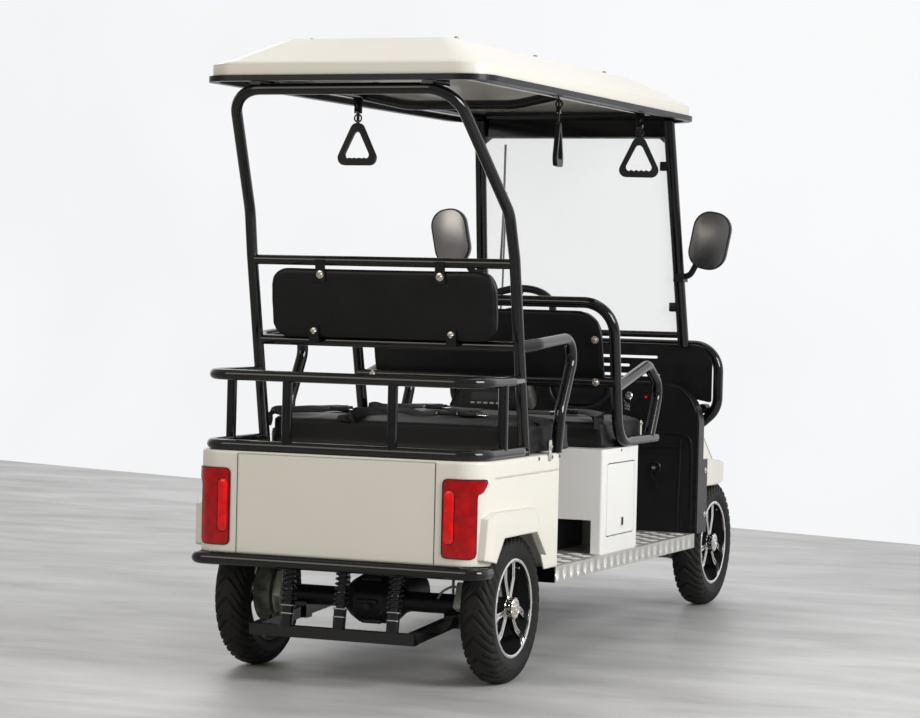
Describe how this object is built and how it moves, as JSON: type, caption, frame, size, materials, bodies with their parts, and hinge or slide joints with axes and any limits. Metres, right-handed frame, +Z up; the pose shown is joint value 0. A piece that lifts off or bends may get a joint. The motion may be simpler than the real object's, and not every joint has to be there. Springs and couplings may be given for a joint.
{
  "type": "four seat golf cart",
  "caption": "Small electric cart with two bench seats, tube frames, luggage guard, roof, screen, steered front wheels and a tub body.",
  "frame": {"origin": "middle of the floor under the whole cart", "axes": "+Y forward, +X to the right, +Z up; wheels stand on z 0"},
  "size_m": [1.1722, 2.7664, 2.0142],
  "materials": {
    "cream_body": "gloss moulded shell",
    "white_sheet": "gloss paint",
    "black_tube": "gloss powder coat",
    "black_moulding": "satin moulding",
    "black_vinyl": "grained vinyl",
    "floor_aluminium": "tread sheet",
    "alloy": "machined and black",
    "tyre_rubber": "rubber",
    "steel": "satin",
    "cast_motor": "painted casting",
    "battery_case": "plain case",
    "lamp_red": "red lens",
    "lamp_clear": "clear lens",
    "screen_glass": "clear"
  },
  "bodies": {
    "chassis": {"battery_pack": "battery_case", "chassis_frame": "black_tube", "dash_panel": "black_moulding", "drive_motor": "cast_motor", "fender_left": "cream_body", "fender_right": "cream_body", "floor_plate": "floor_aluminium", "front_axle": "steel", "front_backrest": "black_vinyl", "front_bumper": "black_tube", "front_cushion": "black_vinyl", "front_posts": "black_tube", "front_shield": "black_moulding", "guard_loop": "black_tube", "guard_rail": "black_tube", "handle_front_right": "black_moulding", "handle_rear_left": "black_moulding", "handle_rear_right": "black_moulding", "headlights": "lamp_clear", "mirror_left": "black_moulding", "mirror_right": "black_moulding", "nose_cowl": "cream_body", "pedals": "black_tube", "rear_axle": "steel", "rear_backrest": "black_vinyl", "rear_body": "cream_body", "rear_bumper": "black_tube", "rear_cushion": "black_vinyl", "rear_dampers": "steel", "rear_hoop": "black_tube", "rear_panel": "cream_body", "roof_frame": "black_tube", "roof_shell": "cream_body", "roof_trim": "black_moulding", "seat_base": "white_sheet", "seat_hoop": "black_tube", "steering_column": "steel", "swing_frame": "black_tube", "tail_light_left": "lamp_red", "tail_light_right": "lamp_red", "turn_lamps": "black_moulding", "windshield": "screen_glass"},
    "wheel_rear_left": {"tyre_rear_left": "tyre_rubber", "rim_rear_left": "alloy"},
    "wheel_rear_right": {"tyre_rear_right": "tyre_rubber", "rim_rear_right": "alloy"},
    "wheel_front_left": {"tyre_front_left": "tyre_rubber", "rim_front_left": "alloy"},
    "wheel_front_right": {"tyre_front_right": "tyre_rubber", "rim_front_right": "alloy"},
    "left_knuckle": {"knuckle_left": "steel"},
    "right_knuckle": {"knuckle_right": "steel"},
    "track_rod": {"tie_rod": "steel"},
    "hand_wheel": {"steering_wheel": "black_moulding"},
    "left_seat_door": {"seat_door_left": "white_sheet"},
    "right_seat_door": {"seat_door_right": "white_sheet"}
  },
  "joints": [
    {"name": "rear_left_spin", "type": "hinge", "parent": "chassis", "child": "wheel_rear_left", "pos_m": [-0.422, -1.0214, 0.2365], "axis": [1, 0, 0], "continuous": true},
    {"name": "rear_right_spin", "type": "hinge", "parent": "chassis", "child": "wheel_rear_right", "pos_m": [0.422, -1.0214, 0.2365], "axis": [1, 0, 0], "continuous": true},
    {"name": "left_steer", "type": "hinge", "parent": "chassis", "child": "left_knuckle", "pos_m": [-0.338, 1.0616, 0.2365], "axis": [0, 0, 1], "range_deg": [-30, 30]},
    {"name": "right_steer", "type": "hinge", "parent": "chassis", "child": "right_knuckle", "pos_m": [0.338, 1.0616, 0.2365], "axis": [0, 0, 1], "range_deg": [-30, 30]},
    {"name": "front_left_spin", "type": "hinge", "parent": "left_knuckle", "child": "wheel_front_left", "pos_m": [-0.422, 1.0616, 0.2365], "axis": [1, 0, 0], "continuous": true},
    {"name": "front_right_spin", "type": "hinge", "parent": "right_knuckle", "child": "wheel_front_right", "pos_m": [0.422, 1.0616, 0.2365], "axis": [1, 0, 0], "continuous": true},
    {"name": "track_rod_pivot", "type": "hinge", "parent": "left_knuckle", "child": "track_rod", "pos_m": [-0.338, 0.9516, 0.1895], "axis": [0, 0, 1], "range_deg": [-30, 30]},
    {"name": "hand_wheel_turn", "type": "hinge", "parent": "chassis", "child": "hand_wheel", "pos_m": [-0.165, 0.5092, 1.09944], "axis": [0, -0.5971, 0.8022], "range_deg": [-240, 240]},
    {"name": "left_door_hinge", "type": "hinge", "parent": "chassis", "child": "left_seat_door", "pos_m": [-0.4715, 0.06605, 0.49964], "axis": [0, -0.0234, -0.9997], "range_deg": [0, 85]},
    {"name": "right_door_hinge", "type": "hinge", "parent": "chassis", "child": "right_seat_door", "pos_m": [0.4715, 0.06605, 0.49964], "axis": [0, 0.0234, 0.9997], "range_deg": [0, 85]}
  ],
  "couplings": [
    {"joint": "right_steer", "follows": "left_steer", "ratio": 1},
    {"joint": "track_rod_pivot", "follows": "left_steer", "ratio": -1},
    {"joint": "hand_wheel_turn", "follows": "left_steer", "ratio": 8}
  ]
}
